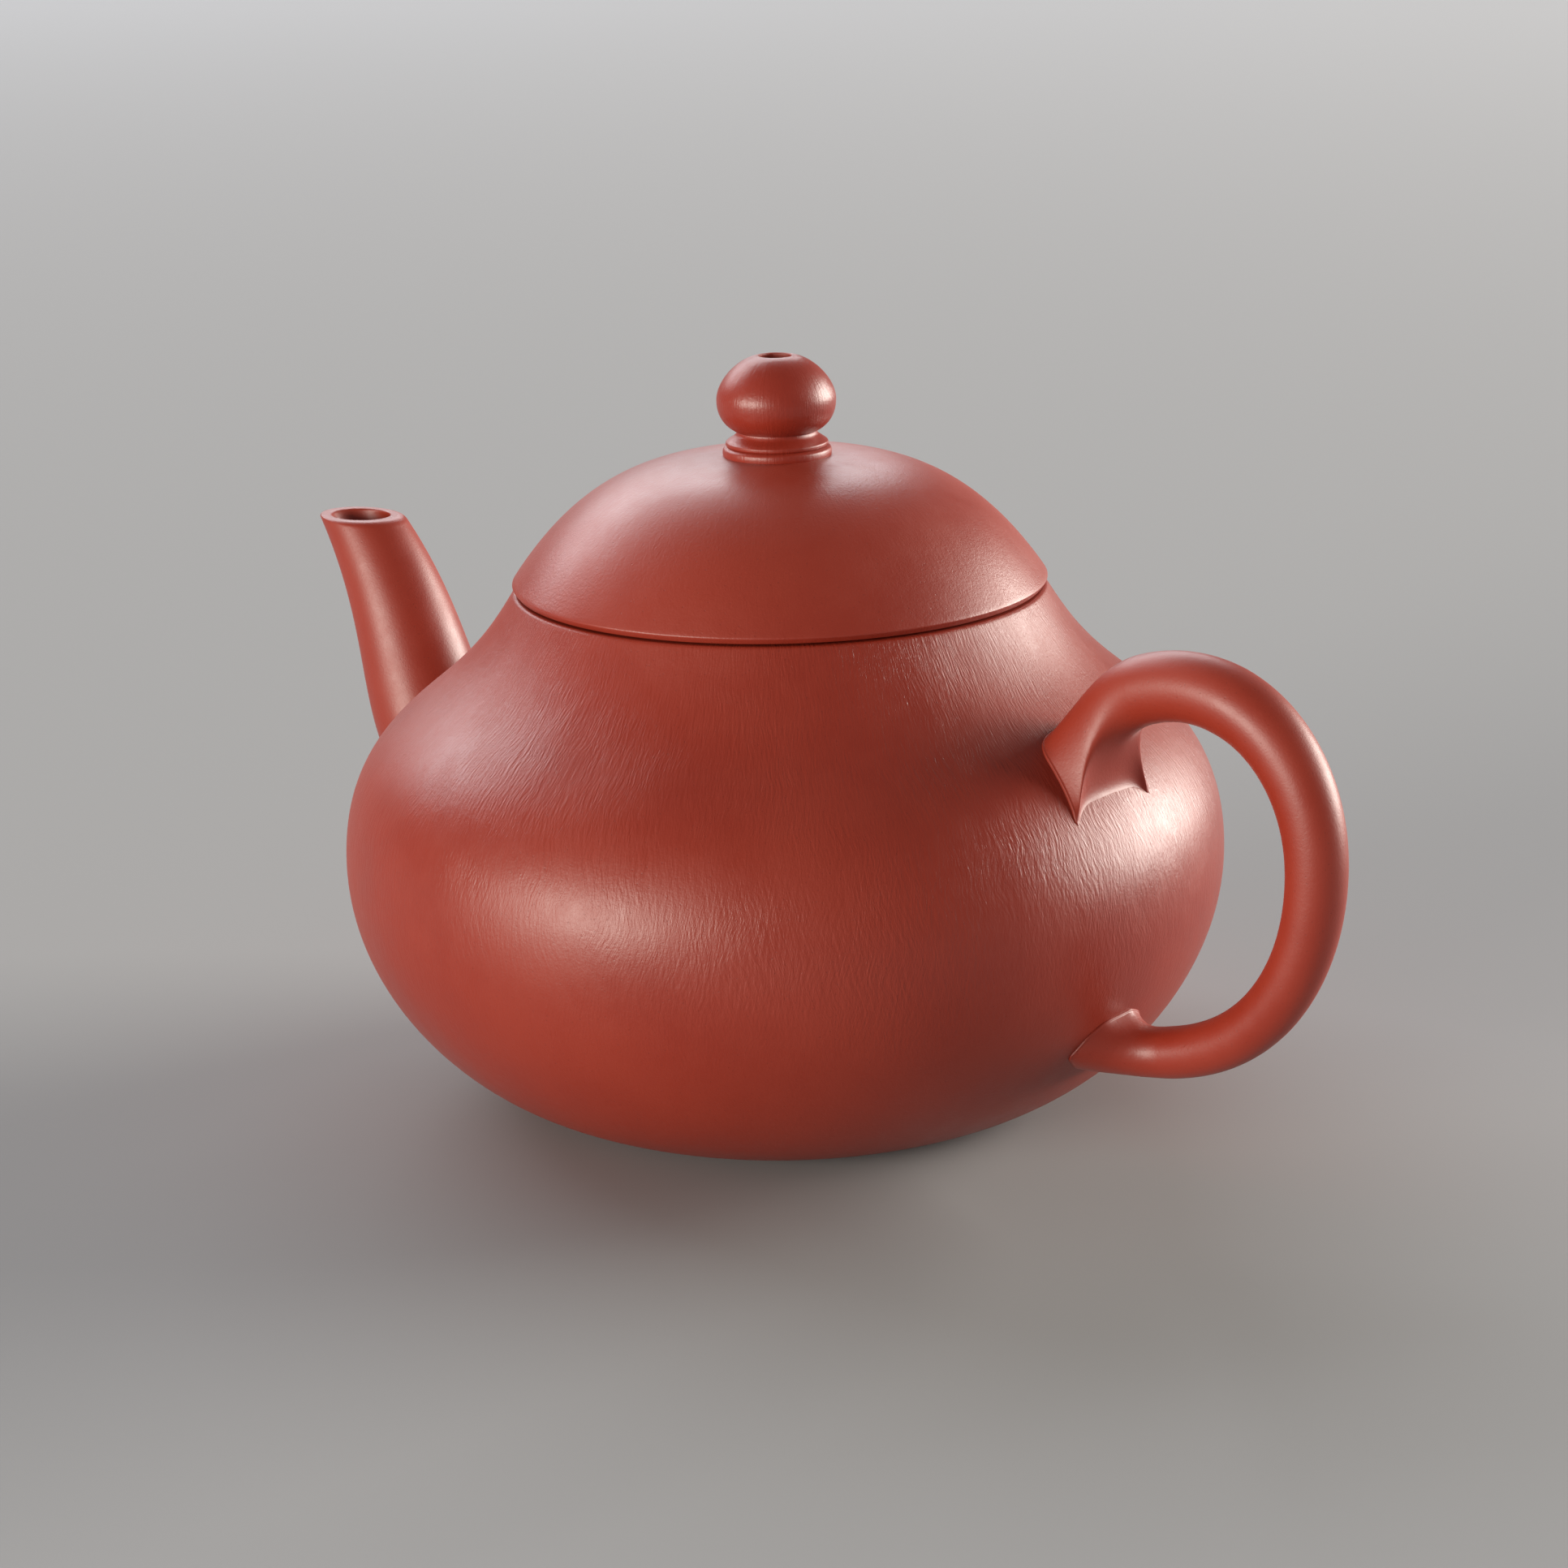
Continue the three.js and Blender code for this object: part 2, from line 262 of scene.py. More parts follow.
def cut(piece, tool):
    """Takes a tool's shape out of a piece, and deletes the tool."""
    modifier = piece.modifiers.new("cut", "BOOLEAN")
    modifier.operation = "DIFFERENCE"
    modifier.object = tool
    modifier.solver = "EXACT"
    bpy.context.view_layer.update()
    shown = piece.evaluated_get(bpy.context.evaluated_depsgraph_get())
    result = bpy.data.meshes.new_from_object(shown)
    piece.modifiers.clear()
    piece.data = result
    bpy.data.objects.remove(tool)


def rod_tool(centre, direction, radius, length):
    """A round rod for cutting holes, centred on a place, along a direction."""
    mesh = bpy.data.meshes.new("tool")
    made = bmesh.new()
    turn = Vector(direction).to_track_quat("Z", "Y").to_matrix().to_4x4()
    bmesh.ops.create_cone(
        made, cap_ends=True, segments=TOOL_SIDES, radius1=radius * MM, radius2=radius * MM,
        depth=length * MM, matrix=Matrix.Translation(Vector(centre) * MM) @ turn)
    made.to_mesh(mesh)
    made.free()
    tool = bpy.data.objects.new("tool", mesh)
    bpy.context.scene.collection.objects.link(tool)
    return tool


# ---- Tubes and rods bent in the XZ plane ----


class Bent:
    """A curve in the XZ plane through cubic Bezier pieces, by share of its length."""

    def __init__(self, *pieces):
        points = np.vstack([bezier(p, CURVE_POINTS)[(i > 0):] for i, p in enumerate(pieces)])
        self.points = by_length(points, CURVE_STEP)
        self.shares = np.linspace(0, 1, len(self.points))
        self.length = np.linalg.norm(np.diff(self.points, axis=0), axis=1).sum()

    def centre(self, share):
        return np.stack([np.interp(share, self.shares, self.points[:, i]) for i in (0, 1)], axis=-1)

    def frame(self, share):
        """Centre, direction of travel and outer side at each share, in space."""
        small = 0.002
        here = self.centre(share)
        along = self.centre(np.minimum(share + small, 1)) - self.centre(np.maximum(share - small, 0))
        along /= np.linalg.norm(along, axis=-1)[..., None]
        zero = np.zeros(np.shape(share))
        centre = np.stack([here[..., 0], zero, here[..., 1]], axis=-1)
        travel = np.stack([along[..., 0], zero, along[..., 1]], axis=-1)
        outer = np.stack([-along[..., 1], zero, along[..., 0]], axis=-1)
        return centre, travel, outer

    def skin(self, share, angle, radius):
        """Places round the curve. Angle 0 is on the left of travel and a quarter turn is -Y."""
        centre, _, outer = self.frame(share)
        across = np.array([0, -1, 0])
        radius = np.asarray(radius)[..., None]
        return centre + radius * (np.cos(angle)[..., None] * outer + np.sin(angle)[..., None] * across)


# ---- Spout ----
SPOUT = Bent([(-39.5, 24.3), (-56.5, 26.6), (-48.2, 39.5), (-63.5, 55.4)])
SPOUT_ROOT_R = 7.3
SPOUT_TIP_R = 3.6
SPOUT_TAPER_POWER = 1.5
SPOUT_ROOT_WALL = 2.2
SPOUT_TIP_WALL = 1.2
SPOUT_SIDES = 96


def spout_radius(share):
    return SPOUT_ROOT_R - (SPOUT_ROOT_R - SPOUT_TIP_R) * share ** SPOUT_TAPER_POWER


def spout_bore(share):
    return spout_radius(share) - (SPOUT_ROOT_WALL + (SPOUT_TIP_WALL - SPOUT_ROOT_WALL) * share)


def crossing(skin, angles, radius, gap, low, high):
    """The share at which each line along a skin passes through a face, found by halving. gap is below
    0 before the face."""
    low = np.full(len(angles), float(low))
    high = np.full(len(angles), float(high))
    for _ in range(HALVINGS):
        middle = (low + high) / 2
        before = gap(skin(middle, angles, radius(middle))) < 0
        low = np.where(before, middle, low)
        high = np.where(before, high, middle)
    return low


def spout():
    angles = np.linspace(0, 2 * math.pi, SPOUT_SIDES, endpoint=False)
    skin_rings, bore_rings = 90, 50
    bore_start = 0.03
    fillet = 0.9
    # The lip is thinned to a soft point in front and rounded over at the back.
    front = (1 + np.cos(angles)) / 2
    lip_round = (0.85 - 0.55 * front)[:, None]
    inner_round = 0.3

    def level(places):
        return places[..., 2] - SEAT_Z

    start = crossing(SPOUT.skin, angles, spout_radius, clear_of_pot, 0.02, 0.5)
    end = crossing(SPOUT.skin, angles, spout_radius, level, 0.6, 0.999)
    rings = []
    for t in np.linspace(0, 1, skin_rings):
        share = start + (end - start) * t
        out = share - start
        # A small fillet of slip where the spout leaves the pot.
        swell = fillet * 0.5 * np.clip(1 - out * SPOUT.length / (2 * fillet), 0, 1) ** 2
        rings.append(SPOUT.skin(share, angles, spout_radius(share) + swell))
    sunk = SPOUT.skin(start - 0.02, angles, spout_radius(start) + fillet * 0.5)
    bore_end = crossing(SPOUT.skin, angles, spout_bore, level, 0.6, 0.999)
    bore = []
    for t in np.linspace(1, 0, bore_rings):
        share = bore_start + (bore_end - bore_start) * t
        bore.append(SPOUT.skin(share, angles, spout_bore(share)))
    # The outer edge, the level face and the inner edge.
    corner, inner = rings[-1], bore[0]
    inward = inner - corner
    inward /= np.linalg.norm(inward, axis=1)[:, None]
    down = rings[-3] - corner
    down /= np.linalg.norm(down, axis=1)[:, None]
    into = bore[2] - inner
    into /= np.linalg.norm(into, axis=1)[:, None]
    body = [r for r in rings if np.all(np.linalg.norm(r - corner, axis=1) > lip_round[:, 0] * 1.05)]
    edge = [turn_corner(corner + down * lip_round, corner, corner + inward * lip_round, t)
            for t in np.linspace(0, 1, 9)]
    edge += [turn_corner(inner - inward * inner_round, inner, inner + into * inner_round, t)
             for t in np.linspace(0, 1, 6)]
    bore = [r for r in bore if np.all(np.linalg.norm(r - inner, axis=1) > inner_round * 1.1)]
    return finish_mesh("spout_tube", grid_mesh(
        "spout_tube", [sunk, *body, *edge, *bore], closed_ends=False), crease=60)


# ---- Handle ----
HANDLE = Bent(
    [(33, 39), (46.6, 56.9), (63.6, 48.8), (63.6, 33.5)],
    [(63.6, 33.5), (63.6, 22.5), (56.35, 10.4), (38, 12.3)],
)
HANDLE_CROWN_R = 3.35
HANDLE_FOOT_R = 2.5
HANDLE_THIN_FROM = 0.3
HANDLE_SIDES = 96
ROD_RINGS = 170
ROOT_RINGS = 40
ROOT_LEAVE = 0.45    # share of a root's reach over which it keeps the rod's direction
THUMB_PASSES = 50    # smoothing passes half-way along a root
LIP_EDGE = 0.6       # radius of a lip's edge, as a share of how proud it stands
SUNK = 0.35          # how far a root's rim goes into the pot


def handle_radius(share):
    thinned = np.clip(share - HANDLE_THIN_FROM, 0, 1) / (1 - HANDLE_THIN_FROM)
    return HANDLE_CROWN_R + (HANDLE_FOOT_R - HANDLE_CROWN_R) * np.sin(math.pi / 2 * thinned)


def half_outline(corners, count, tip):
    """count places along a half outline of (y, z, fillet) corners, with the tip corner at a share."""
    points = rounded(corners, 10)
    along = np.concatenate([[0], np.cumsum(np.linalg.norm(np.diff(points, axis=0), axis=1))])
    at_tip = along[np.argmin(np.linalg.norm(points - np.array(corners[tip[0]][:2]), axis=1))]
    places = np.interp(np.linspace(0, 1, count), [0, tip[1], 1], [0, at_tip, along[-1]])
    return np.stack([np.interp(places, along, points[:, i]) for i in (0, 1)], axis=1)


def root_rings(start_share, inwards, near, far, arrive, ease, lip, tip):
    """Rings that spread the handle's rod on to the pot. near and far are half outlines on the pot,
    from the handle's outer side to its inner side, and tip is their pointed corner and the share of
    the half turn at which it comes. By share of the half turn, arrive is the angle to the pot at
    which the skin lands, ease the length over which it turns to that angle, and lip how proud of the
    pot it stands. inwards is -1 where the rod's direction of travel leaves the pot, and 1 where it
    meets it."""
    half = HANDLE_SIDES // 2
    angles = np.linspace(0, 2 * math.pi, HANDLE_SIDES, endpoint=False)
    one = half_outline(near, half + 1, tip)
    two = half_outline(far, half + 1, tip)[1:-1][::-1]
    rim = np.vstack([one, two])
    base = on_pot(rim[:, 0], rim[:, 1])
    normal = pot_normal(base)
    side = np.roll(base, -1, axis=0) - np.roll(base, 1, axis=0)
    outward = np.cross(side, normal)
    outward /= np.linalg.norm(outward, axis=1)[:, None]
    outward *= np.sign(np.einsum("ij,ij->i", outward, base - base.mean(axis=0)).sum())
    turn = np.minimum(angles, 2 * math.pi - angles) / math.pi
    tilt = np.radians(np.interp(turn, *arrive))[:, None]
    proud = np.interp(turn, *lip)[:, None]
    landing = base + normal * proud
    share = np.full(HANDLE_SIDES, start_share)
    rod = HANDLE.skin(share, angles, handle_radius(share))
    _, travel, _ = HANDLE.frame(share)
    reach = np.linalg.norm(landing - rod, axis=1)[:, None]
    leave = rod + travel * inwards * reach * ROOT_LEAVE
    eased = np.interp(turn, *ease)[:, None]
    enter = landing + (np.sin(tilt) * normal - np.cos(tilt) * outward) * eased
    rings = []
    for t in np.linspace(0, 1, ROOT_RINGS)[1:]:
        ring = ((1 - t) ** 3 * rod + 3 * t * (1 - t) ** 2 * leave
                + 3 * t * t * (1 - t) * enter + t ** 3 * landing)
        # Rubbed down by the potter's thumb, but less so towards the rod and the rim.
        for _ in range(int(THUMB_PASSES * min(1, 2.2 * (1 - t), 2.5 * t))):
            ring = (np.roll(ring, 1, axis=0) + 2 * ring + np.roll(ring, -1, axis=0)) / 4
        rings.append(ring)
    # The lip's rounded edge, and its wall down into the pot.
    edge_r = np.clip(proud * LIP_EDGE, 0.02, 0.12)
    for turned_by in np.linspace(0, math.pi / 2, 5)[1:]:
        rings.append(landing + outward * edge_r * math.sin(turned_by)
                     - normal * edge_r * (1 - math.cos(turned_by)))
    rings.append(landing + outward * edge_r - normal * (proud + SUNK))
    return rings


def handle():
    # Shares of the handle's length at which its roots begin.
    top_start, foot_start = 0.185, 0.875
    top = root_rings(
        top_start, -1,
        near=[(0, 43.1), (-2.6, 42.9, 1), (-4.6, 42.1, 1.2),
              (-6.9, 35.7, 0.8), (-4.7, 37.3, 1.6), (0, 37.4)],
        far=[(0, 43.1), (2.6, 42.9, 1), (4.2, 42.0, 1.2),
             (5.7, 35.8, 1.2), (4.1, 37.2, 1.4), (0, 37.4)],
        arrive=([0, 0.25, 0.5, 0.6, 0.75, 1], [80, 70, 60, 20, 6, 6]),
        ease=([0, 0.3, 0.5, 0.6, 0.75, 1], [1, 1.6, 1.8, 1.7, 2.0, 2.0]),
        lip=([0, 0.2, 0.3, 0.54, 0.62, 1], [0, 0.1, 0.3, 0.3, -0.04, -0.04]),
        tip=(3, 0.6),
    )
    foot = root_rings(
        foot_start, 1,
        near=[(0, 9.6), (-4.2, 10.4, 1.5), (-6.8, 12.6, 0.4),
              (-5.6, 14.7, 0.6), (-3.9, 15.9, 0.8), (0, 16.1)],
        far=[(0, 9.6), (4.2, 10.4, 1.5), (5.6, 12.0, 0.5),
             (4.0, 13.0, 0.8), (1.8, 15.4, 0.4), (0, 16.1)],
        arrive=([0, 0.4, 0.6, 1], [75, 60, 60, 75]),
        ease=([0, 0.45, 1], [1, 1.4, 1.6]),
        lip=([0, 0.3, 0.45, 1], [0, 0.1, 0.2, 0.2]),
        tip=(2, 0.45),
    )
    angles = np.linspace(0, 2 * math.pi, HANDLE_SIDES, endpoint=False)
    middle = []
    for share in np.linspace(top_start, foot_start, ROD_RINGS):
        shares = np.full(HANDLE_SIDES, share)
        middle.append(HANDLE.skin(shares, angles, handle_radius(shares)))
    rings = np.array([*top[::-1], *middle, *foot])
    rings += hand_shaping(rings, 0.06, 9)[..., None] * np.array([0, 1, 0])
    return finish_mesh("handle_ear", grid_mesh("handle_ear", rings, closed_ends=True), crease=70)


# ---- Pot pieces ----
INNER_OUTLINE = offset(POT_OUTLINE, WALL)
DRAIN_R = 5
SPOUT_Z = 24.3


def base_disc():
    side = between(POT_OUTLINE, 0, BASE_T)
    rim = rounded([(0, 0), (BASE_R - 0.2, 0, 0.5), side[2]])
    return turned("base_slab", [*rim, *side[3:], (0, BASE_T)])


def shell_band(name, low, high):
    inner = between(INNER_OUTLINE, low, high)
    return turned(name, [*between(POT_OUTLINE, low, high), *inner[::-1]])


def belly_wall():
    wall = shell_band("belly", BASE_T, SHOULDER_Z)
    cut(wall, rod_tool((-BELLY_R, 0, SPOUT_Z), (1, 0, 0), DRAIN_R, 20))
    return wall


def mouth_ring():
    side = between(POT_OUTLINE, NECK_Z, SEAT_Z)
    keep = [p for p in side if p[1] < SEAT_Z - 0.5]
    top = rounded([keep[-1], (MOUTH_OUTER_R, SEAT_Z, 0.32), (MOUTH_R, SEAT_Z, 0.35), (MOUTH_R, NECK_Z)])
    return turned("mouth_band", [*keep[:-1], *top])


def strainer():
    """A pierced dome luted over the drain hole, inside the belly."""
    dome_r, dome_wall, pierce_r = 8, 1.6, 1.1
    centre = np.array([-BELLY_R + 4, 0, SPOUT_Z])
    sides, steps = 64, 24
    hole_rings = ((6, 0.56), (10, 1.05))
    around = np.linspace(0, 2 * math.pi, sides, endpoint=False)

    def place(polar, radius):
        return centre + radius * np.stack(
            [np.cos(polar), np.sin(polar) * np.cos(around), np.sin(polar) * np.sin(around)], axis=1)

    def rings(radius):
        low, high = np.zeros(sides), np.full(sides, math.pi * 0.9)
        for _ in range(HALVINGS):
            middle = (low + high) / 2
            spot = place(middle, radius)
            inside = np.hypot(spot[:, 0], spot[:, 1]) < np.interp(
                spot[:, 2], INNER_OUTLINE[:, 1], INNER_OUTLINE[:, 0]) + 0.1
            low, high = np.where(inside, middle, low), np.where(inside, high, middle)
        return [place(low * t, radius) for t in np.linspace(0.02, 1, steps)]

    skin = [*rings(dome_r), *rings(dome_r - dome_wall)[::-1]]
    dome = finish_mesh("strainer_dome", grid_mesh("strainer_dome", skin, closed_ends=True))
    cut(dome, rod_tool(centre + (dome_r, 0, 0), (1, 0, 0), pierce_r, 6))
    for holes, tilt in hole_rings:
        for i in range(holes):
            turn = 2 * math.pi * i / holes
            across = math.sin(tilt)
            way = np.array([math.cos(tilt), across * math.cos(turn), across * math.sin(turn)])
            cut(dome, rod_tool(centre + way * dome_r, way, pierce_r * 0.9, 6))
    return dome


# ---- Lid pieces ----


def dome_outline(low):
    radii = np.linspace(lid_radius(low), KNOB_SEAT_R, 400)
    curve = by_length(np.stack([radii, lid_height(radii)], axis=1), ROW)
    start = np.array([lid_radius(low + SEAM_ROW), low + SEAM_ROW])
    return np.vstack([curve[:1], start, curve[1:]])


def lid_dome():
    outer = dome_outline(DOME_Z)
    inner = offset(outer, WALL)
    inner = inner[inner[:, 1] > DOME_Z + 0.3]
    foot = (inner[0, 0] + 0.1, DOME_Z)
    roof = rounded([outer[-1], (VENT_R, KNOB_SEAT_Z), (VENT_R, KNOB_SEAT_Z - WALL, 0.3), inner[-1]])
    return turned("lid_shell", [*outer[:-1], *roof[:-1], *inner[::-1], foot])


def lid_seat_ring():
    undercut, edge = 0.45, 0.6
    inner_r = FLANGE_R - FLANGE_T
    rows = np.arange(DOME_Z - 0.3, LID_BASE_Z + edge + 0.2, -0.2)
    heights = np.array([DOME_Z, DOME_Z - SEAM_ROW, *rows])
    side = [(lid_radius(z), z) for z in heights]
    rim = rounded([
        side[-1],
        (LID_EDGE_R, LID_BASE_Z + edge, 0.16),
        (LID_EDGE_R - undercut, LID_BASE_Z, 0.12),
        (inner_r, LID_BASE_Z),
    ])
    return turned("lid_rim", [*side[:-1], *rim, (inner_r, DOME_Z)])


def lid_flange():
    inner_r = FLANGE_R - FLANGE_T
    return turned("lid_skirt", rounded([
        (FLANGE_R, LID_BASE_Z),
        (FLANGE_R, FLANGE_LOW_Z, 0.5),
        (inner_r, FLANGE_LOW_Z, 0.5),
        (inner_r, LID_BASE_Z),
    ]), shaping=0.03)


# ---- Knob pieces, from the lid up ----


def knob_base_ring():
    height = COLLAR_Z - KNOB_SEAT_Z
    return turned("knob_ring", rounded([
        (VENT_R, KNOB_SEAT_Z),
        (KNOB_RING_R - 0.05, KNOB_SEAT_Z),
        (KNOB_RING_R, KNOB_SEAT_Z + height * 0.3, 0.15),
        (KNOB_RING_R - 0.05, KNOB_SEAT_Z + height * 0.75, 0.2),
        (KNOB_FLARE_R - 0.12, COLLAR_Z),
        (VENT_R, COLLAR_Z),
    ]), KNOB_SEGMENTS, shaping=0.02)


def knob_collar():
    return turned("knob_foot", rounded([
        (VENT_R, COLLAR_Z),
        (KNOB_FLARE_R - 0.12, COLLAR_Z),
        (KNOB_FLARE_R - 0.02, COLLAR_Z + 0.1, 0.06),
        (KNOB_FLARE_R, COLLAR_Z + 0.4, 0.12),
        (KNOB_FLARE_R - 0.35, COLLAR_Z + 0.66, 0.2),
        (KNOB_NECK_R + 0.45, COLLAR_Z + 0.86, 0.25),
        (KNOB_NECK_R + 0.05, NECK_TOP_Z - 0.3, 0.25),
        (KNOB_NECK_R, NECK_TOP_Z),
        (VENT_R, NECK_TOP_Z),
    ]), KNOB_SEGMENTS, shaping=0.02)


def knob_bead():
    widest_z = 71.5
    lower = bezier([
        (KNOB_NECK_R, NECK_TOP_Z), (5.1, 68.85), (KNOB_BEAD_R, 69.8), (KNOB_BEAD_R, widest_z)], 24)
    upper = bezier([
        (KNOB_BEAD_R, widest_z), (KNOB_BEAD_R, 73.3),
        (3.9, KNOB_TOP_Z - 0.3), (VENT_R + 0.2, KNOB_TOP_Z)], 30)
    vent = rounded([upper[-1], (VENT_R, KNOB_TOP_Z - 0.03, 0.15), (VENT_R, NECK_TOP_Z)])
    return turned("knob_bead_round", [*lower, *upper[1:-1], *vent], KNOB_SEGMENTS, shaping=0.03)


# ---- Clay ----


class Tree:
    """Short calls for a material's nodes. Each returns its first output."""

    def __init__(self, material):
        self.nodes, self.links = material.node_tree.nodes, material.node_tree.links

    def add(self, kind, inputs=None, **settings):
        made = self.nodes.new("ShaderNode" + kind)
        for key, value in settings.items():
            setattr(made, key, value)
        for key, value in (inputs or {}).items():
            if isinstance(value, bpy.types.NodeSocket):
                self.links.new(value, made.inputs[key])
            else:
                made.inputs[key].default_value = value
        return made

    def math(self, operation, *values):
        return self.add("Math", dict(enumerate(values)), operation=operation).outputs[0]

    def vector(self, x, y, z):
        return self.add("CombineXYZ", {0: x, 1: y, 2: z}).outputs[0]

    def noise(self, vector, scale, detail=2.0, roughness=0.5):
        return self.add("TexNoise", {
            "Vector": vector, "Scale": scale, "Detail": detail, "Roughness": roughness}).outputs[0]

    def ramp(self, value, low, high, to_low=0.0, to_high=1.0):
        return self.add("MapRange", {
            0: value, 1: low, 2: high, 3: to_low, 4: to_high}, interpolation_type="SMOOTHSTEP").outputs[0]

    def mix(self, share, one, two):
        return self.add("Mix", {0: share, 6: one, 7: two}, data_type="RGBA").outputs[2]


# Noise scales, in features to the metre, from the broadest clouds to the finest sand.
BROAD_SCALE = 55
PATCH_SCALE = 90
WANDER_SCALE = 130
CLOUD_SCALE = 420
PORE_SCALE = 1500.0
DIMPLE_SCALE = 2600
SAND_SCALE = 5200
BUMP_DISTANCE = 0.00001


def meridian_streaks(tree, place, pitch, length, slant):
    """Noise drawn out along the pot's meridians. pitch and length are in metres, and slant leans the
    streaks."""
    split = tree.add("SeparateXYZ", {0: place})
    x, y, z = split.outputs
    squares = tree.math("ADD", tree.math("MULTIPLY", x, x), tree.math("MULTIPLY", y, y))
    radius = tree.math("MAXIMUM", tree.math("SQRT", squares), 0.002)
    wander = tree.noise(place, WANDER_SCALE, 2)
    turn = tree.math("MULTIPLY_ADD", z, slant, tree.math("MULTIPLY", wander, 0.06))
    flat = tree.vector(tree.math("DIVIDE", x, radius), tree.math("DIVIDE", y, radius), 0.0)
    spun = tree.add("VectorRotate", {"Vector": flat, "Angle": turn}, rotation_type="Z_AXIS").outputs[0]
    round_scale = BELLY_R * MM / pitch
    along = tree.math("MULTIPLY", z, 1 / length)
    spread = tree.add("VectorMath", {0: spun, 1: (round_scale,) * 3}, operation="MULTIPLY").outputs[0]
    upwards = tree.vector(0.0, 0.0, along)
    lifted = tree.add("VectorMath", {0: spread, 1: upwards}, operation="ADD").outputs[0]
    return tree.noise(lifted, 1.0, 3, 0.6)


def tint(red, *factors):
    return (*(part * factor for part, factor in zip(red, factors)), 1)


def clay(name, red, rough, streaks, grain, streak_pitch=0.00036, streak_length=0.003):
    """Fired red clay: patchy colour, fine lighter sand specks that are partly real grains and partly
    painted glints, pores with painted shade in them, and burnishing streaks. red is its colour, rough its
    mean roughness, and streaks and grain are bump strengths. streak_pitch is measured at the pot's
    widest."""
    material = bpy.data.materials.new(name)
    material.use_nodes = True
    tree = Tree(material)
    shader = tree.nodes["Principled BSDF"]
    place = tree.add("TexCoord").outputs["Object"]

    broad = tree.noise(place, BROAD_SCALE, 3)
    cloud = tree.noise(place, CLOUD_SCALE, 3, 0.6)
    dimples = tree.noise(place, DIMPLE_SCALE, 2)
    sand = tree.noise(place, SAND_SCALE, 2, 0.6)
    pores = tree.add("TexVoronoi", {"Vector": place, "Scale": PORE_SCALE}).outputs["Distance"]
    pore = tree.ramp(pores, 0.06, 0.16, 1.0, 0.0)

    # Colour: broad clouds of a deeper and a warmer red, then fine lighter sand specks, partly real grains
    # and partly painted glints, and painted shade in the pores.
    deep = tint(red, 0.92, 0.86, 0.85)
    warm = tint(red, 1.07, 1.14, 1.12)
    sand_and_glint = tint(red, 1.3, 1.9, 1.9)
    pore_shade = tint(red, 0.5, 0.45, 0.5)
    colour = tree.mix(tree.ramp(broad, 0.2, 0.8), deep, warm)
    colour = tree.mix(tree.math("MULTIPLY", tree.ramp(cloud, 0.35, 0.75), 0.3), colour, warm)
    # Lighter pinkish sand specks: partly real grains, partly painted glints.
    colour = tree.mix(tree.math("MULTIPLY", tree.ramp(sand, 0.62, 0.8), 0.35), colour, sand_and_glint)
    # Painted shade in the pores: each pit is darkened as if shade fell into it.
    colour = tree.mix(tree.math("MULTIPLY", pore, 0.35), colour, pore_shade)
    tree.links.new(colour, shader.inputs["Base Color"])

    # Height: sand, pores and dimples everywhere, and streaks in patches that fade towards the base.
    height = tree.math("MULTIPLY", sand, grain)
    height = tree.math("SUBTRACT", height, tree.math("MULTIPLY", pore, grain * 0.8))
    height = tree.math("MULTIPLY_ADD", cloud, grain * 1.2, height)
    height = tree.math("MULTIPLY_ADD", dimples, grain * 1.6, height)
    if streaks:
        patches = tree.noise(place, PATCH_SCALE, 2)
        one = meridian_streaks(tree, place, streak_pitch, streak_length, 5.0)
        two = meridian_streaks(tree, place, streak_pitch * 0.8, streak_length * 0.8, -4.0)
        streak = tree.math("ADD", tree.ramp(one, 0.3, 0.7), tree.ramp(two, 0.3, 0.7))
        z = tree.add("SeparateXYZ", {0: place}).outputs[2]
        zone = tree.ramp(z, 0.012, 0.026, 0.12, 1.0)
        strength = tree.math("MULTIPLY", zone, tree.ramp(patches, 0.3, 0.65, 0.45, 1.0))
        height = tree.math("MULTIPLY_ADD", tree.math("MULTIPLY", streak, strength), streaks, height)
    bump = tree.add("Bump", {"Height": height, "Strength": 1.0, "Distance": BUMP_DISTANCE})
    tree.links.new(bump.outputs[0], shader.inputs["Normal"])

    wear = tree.ramp(tree.math("ADD", broad, tree.math("MULTIPLY", cloud, 0.5)), 0.5, 1.0,
                     rough - 0.05, rough + 0.06)
    tree.links.new(tree.math("MULTIPLY_ADD", sand, 0.05, wear), shader.inputs["Roughness"])
    shader.inputs["Specular IOR Level"].default_value = 0.55
    shader.inputs["Coat Weight"].default_value = 0.0
    return material


RED = (0.27, 0.026, 0.012)
CLAYS = {
    "pot_clay": clay("pot clay", RED, 0.37, 1.7, 0.8),
    "handle_clay": clay("handle clay", RED, 0.4, 0.0, 0.65),
    "lid_clay": clay("lid clay", (0.28, 0.028, 0.0135), 0.38, 0.35, 1.1, 0.0008, 0.003),
    "knob_clay": clay("knob clay", (0.26, 0.023, 0.011), 0.34, 1.1, 0.8, 0.0016, 0.003),
    "inner_clay": clay("inner clay", (0.27, 0.036, 0.022), 0.62, 0.0, 1.6),
}

# ---- The pieces, and the CAD nodes that they stand for ----
PIECES = [
    (base_disc, "base_disc", "pot", "pot_clay"),
    (belly_wall, "belly_wall", "pot", "pot_clay"),
    (lambda: shell_band("shoulder", SHOULDER_Z, NECK_Z), "shoulder_disc", "pot", "pot_clay"),
    (mouth_ring, "mouth_ring", "pot", "pot_clay"),
    (spout, "spout", "pot", "handle_clay"),
    (strainer, "strainer", "pot", "inner_clay"),
    (handle, "handle", "pot", "handle_clay"),
    (lid_flange, "lid_flange", "lid_lifter", "inner_clay"),
    (lid_dome, "lid_dome", "lid", "lid_clay"),
    (lid_seat_ring, "lid_seat_ring", "lid", "lid_clay"),
    (knob_base_ring, "knob_base_ring", "lid", "knob_clay"),
    (knob_collar, "knob_collar", "lid", "knob_clay"),
    (knob_bead, "knob_bead", "lid", "knob_clay"),
]
